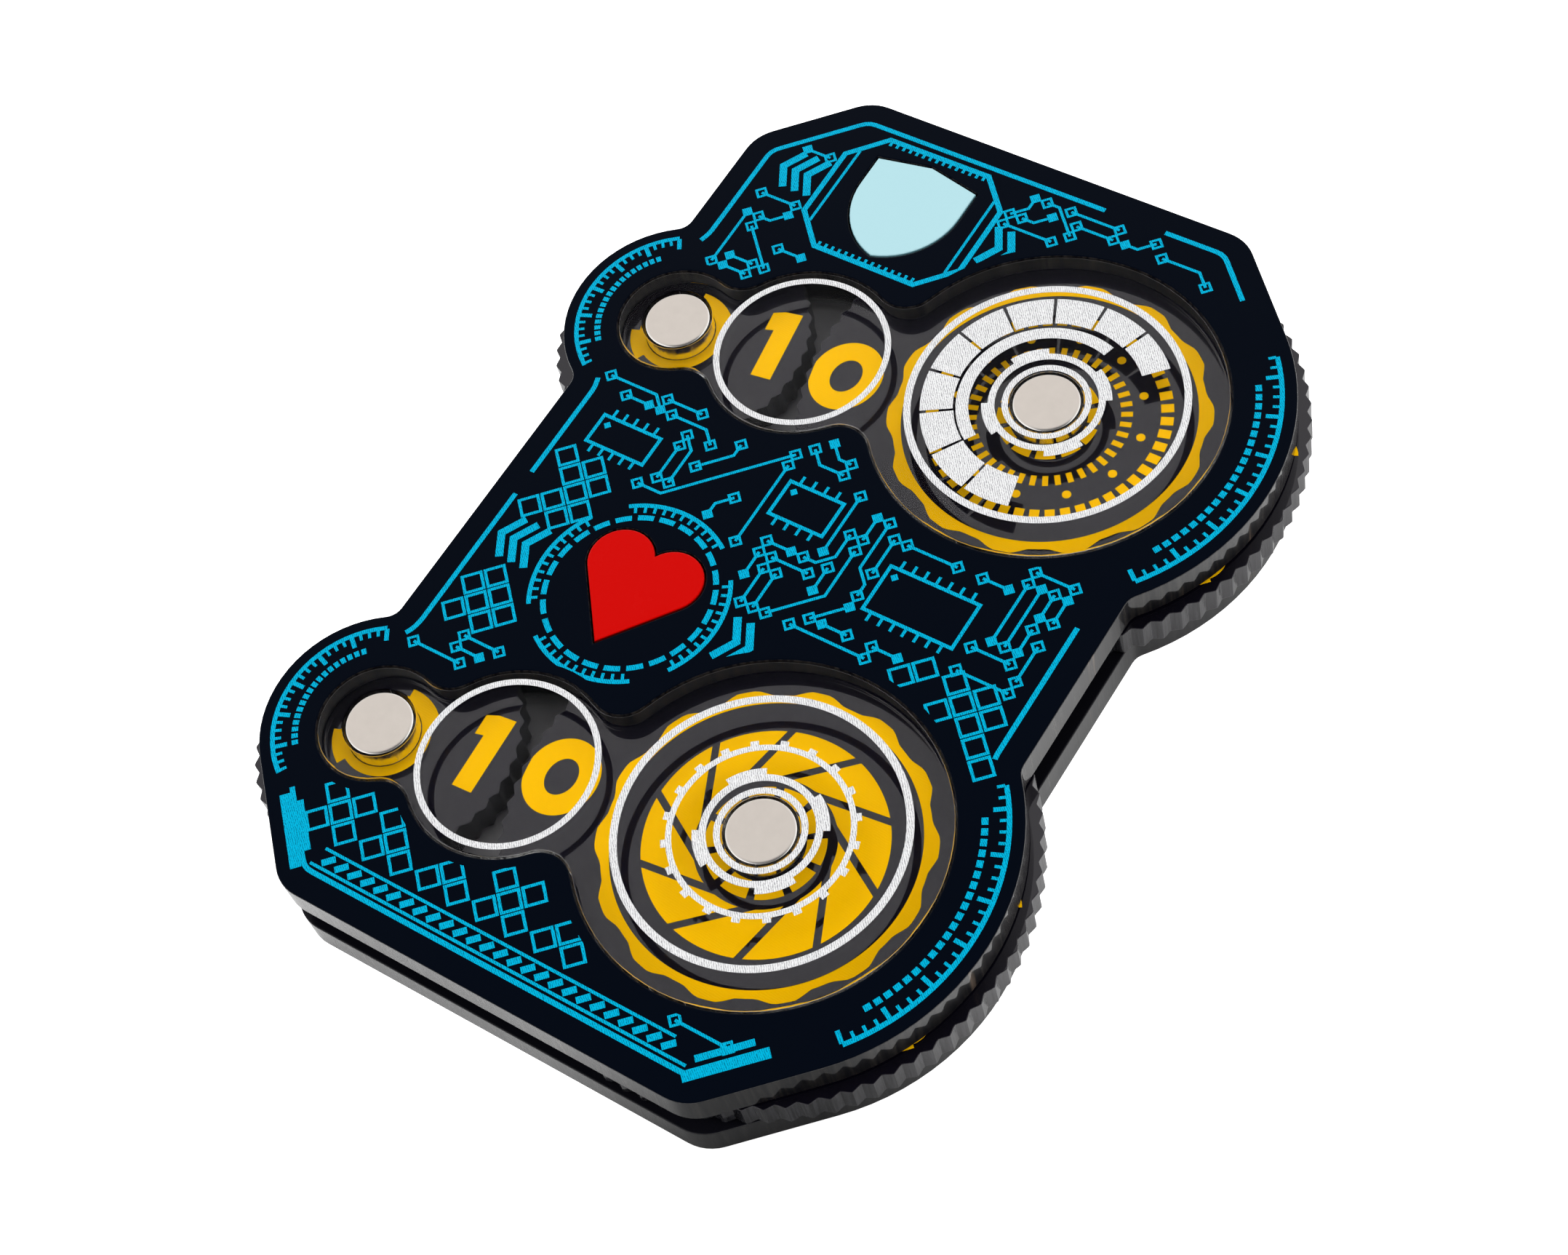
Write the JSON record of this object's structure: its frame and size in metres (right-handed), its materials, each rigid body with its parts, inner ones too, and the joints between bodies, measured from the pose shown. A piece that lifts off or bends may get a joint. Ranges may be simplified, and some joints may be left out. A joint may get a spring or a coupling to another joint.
{
  "type": "life counter",
  "caption": "Card-sized counter of two black acrylic sheets with knurled number wheels that turn on disc magnets between them, read through clear windows",
  "frame": {"origin": "on the outer face of the back sheet, in the middle of the sheet's outline", "axes": "+Z out of the front face, +Y the way the numerals stand upright, +X to the units wheels"},
  "size_m": [0.0683, 0.0912, 0.0096],
  "materials": {
    "black_gloss_acrylic": "laser-cut cast acrylic, polished faces, frosted dark grey cut edges",
    "wheel_grey_acrylic": "laser-cut dark grey acrylic, satin face, fine knurled rim, engraved numerals filled with yellow",
    "clear_acrylic": "clear cast acrylic, polished, engraved graduated rings filled with white",
    "pale_blue_acrylic": "pale blue acrylic inlay, satin face",
    "red_acrylic": "red acrylic inlay, gloss face",
    "nickel_plate": "nickel-plated disc magnet with a bright broken edge"
  },
  "bodies": {
    "case": {"front_plate": "black_gloss_acrylic", "back_plate": "black_gloss_acrylic", "upper_window": "clear_acrylic", "lower_window": "clear_acrylic", "shield_inlay": "pale_blue_acrylic", "heart_inlay": "red_acrylic", "upper_tens_front_magnet": "nickel_plate", "upper_tens_back_magnet": "nickel_plate", "upper_units_front_magnet": "nickel_plate", "upper_units_back_magnet": "nickel_plate", "lower_tens_front_magnet": "nickel_plate", "lower_tens_back_magnet": "nickel_plate", "lower_units_front_magnet": "nickel_plate", "lower_units_back_magnet": "nickel_plate"},
    "upper_tens_wheel": {"upper_tens_wheel": "wheel_grey_acrylic", "upper_tens_wheel_magnet": "nickel_plate"},
    "upper_units_wheel": {"upper_units_wheel": "wheel_grey_acrylic", "upper_units_wheel_magnet": "nickel_plate"},
    "lower_tens_wheel": {"lower_tens_wheel": "wheel_grey_acrylic", "lower_tens_wheel_magnet": "nickel_plate"},
    "lower_units_wheel": {"lower_units_wheel": "wheel_grey_acrylic", "lower_units_wheel_magnet": "nickel_plate"}
  },
  "joints": [
    {"name": "upper_tens_turn", "type": "hinge", "parent": "case", "child": "upper_tens_wheel", "pos_m": [-0.02245, 0.0166, 0.0048], "axis": [0, 0, 1], "continuous": true},
    {"name": "upper_units_turn", "type": "hinge", "parent": "case", "child": "upper_units_wheel", "pos_m": [0.01175, 0.023, 0.0048], "axis": [0, 0, 1], "continuous": true},
    {"name": "lower_tens_turn", "type": "hinge", "parent": "case", "child": "lower_tens_wheel", "pos_m": [-0.02245, -0.0294, 0.0048], "axis": [0, 0, 1], "continuous": true},
    {"name": "lower_units_turn", "type": "hinge", "parent": "case", "child": "lower_units_wheel", "pos_m": [0.01175, -0.023, 0.0048], "axis": [0, 0, 1], "continuous": true}
  ]
}
